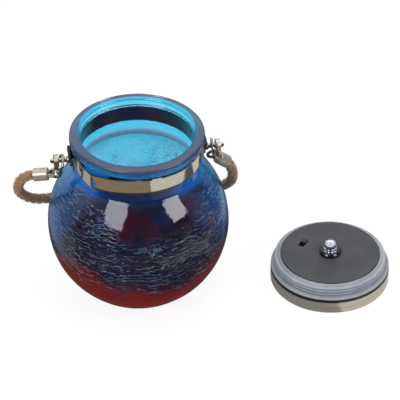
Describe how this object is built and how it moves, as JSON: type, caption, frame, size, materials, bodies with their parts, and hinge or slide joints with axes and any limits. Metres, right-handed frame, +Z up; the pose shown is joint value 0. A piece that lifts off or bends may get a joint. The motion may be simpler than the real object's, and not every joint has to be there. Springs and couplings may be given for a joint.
{
  "type": "mason jar lantern",
  "caption": "Round crackle-glass jar lantern with a steel neck band, hinged rope handle and a separate solar lid with a gasket, lamp and slide switch.",
  "frame": {"origin": "centre of the jar's flat base, on the surface that it stands on", "axes": "+Z up; +X along the two handle studs, towards the side where the lid lies; +Y towards the back, where the rope handle hangs"},
  "size_m": [0.2677, 0.1386, 0.134],
  "materials": {
    "crackle_glass": "glossy crackle glass, blue above and red below",
    "polished_steel": "polished stainless strip",
    "hardware_steel": "polished plated steel",
    "cap_metal": "bright satin metal",
    "jute_rope": "twisted jute fibres",
    "brushed_steel_rim": "brushed stainless steel",
    "clear_plastic": "clear window",
    "solar_cell": "dark blue cells under resin",
    "black_plastic": "fine moulded texture",
    "black_gloss_plastic": "semi-gloss moulded plastic",
    "clear_silicone": "translucent silicone",
    "clear_lens": "clear epoxy",
    "led_gold": "plated lead frame",
    "battery_sleeve": "shrink sleeve",
    "green_board": "solder mask",
    "red_wire": "wire insulation"
  },
  "bodies": {
    "jar": {"glass_jar": "crackle_glass", "neck_band": "polished_steel", "front_strap": "polished_steel", "stud_brackets": "polished_steel", "handle_studs": "hardware_steel", "stud_washers": "hardware_steel", "spacer_collars": "hardware_steel", "stud_nuts": "hardware_steel"},
    "handle": {"eye_ring_left": "hardware_steel", "eye_ring_right": "hardware_steel", "link_ring_left": "hardware_steel", "link_ring_right": "hardware_steel", "rope_cap_left": "cap_metal", "rope_cap_right": "cap_metal", "handle_rope": "jute_rope"},
    "lid": {"lid_rim_ring": "brushed_steel_rim", "panel_window": "clear_plastic", "solar_panel": "solar_cell", "lid_housing": "black_plastic", "gasket": "clear_silicone", "base_plate": "black_gloss_plastic", "led_holder": "black_plastic", "led_lens": "clear_lens", "led_frame": "led_gold", "led_leads": "hardware_steel", "switch_body": "black_plastic", "battery_holder": "black_plastic", "battery": "battery_sleeve", "battery_contacts": "hardware_steel", "circuit_board": "green_board", "driver_chip": "black_plastic", "inductor": "battery_sleeve", "panel_leads": "red_wire", "board_screws": "hardware_steel"},
    "switch_knob": {"switch_knob": "black_plastic"}
  },
  "joints": [
    {"name": "handle_swing", "type": "hinge", "parent": "jar", "child": "handle", "pos_m": [0, 0, 0.1153], "axis": [1, 0, 0], "range_deg": [0, 250]},
    {"name": "lid_turnover", "type": "hinge", "parent": "jar", "child": "lid", "pos_m": [0.06875, -0.00875, 0.0791], "axis": [-0.1262, -0.992, 0], "range_deg": [0, 180]},
    {"name": "switch_slide", "type": "slide", "parent": "lid", "child": "switch_knob", "axis": [-0.6212, -0.7837, 0], "range_m": [0, 0.0036]}
  ]
}
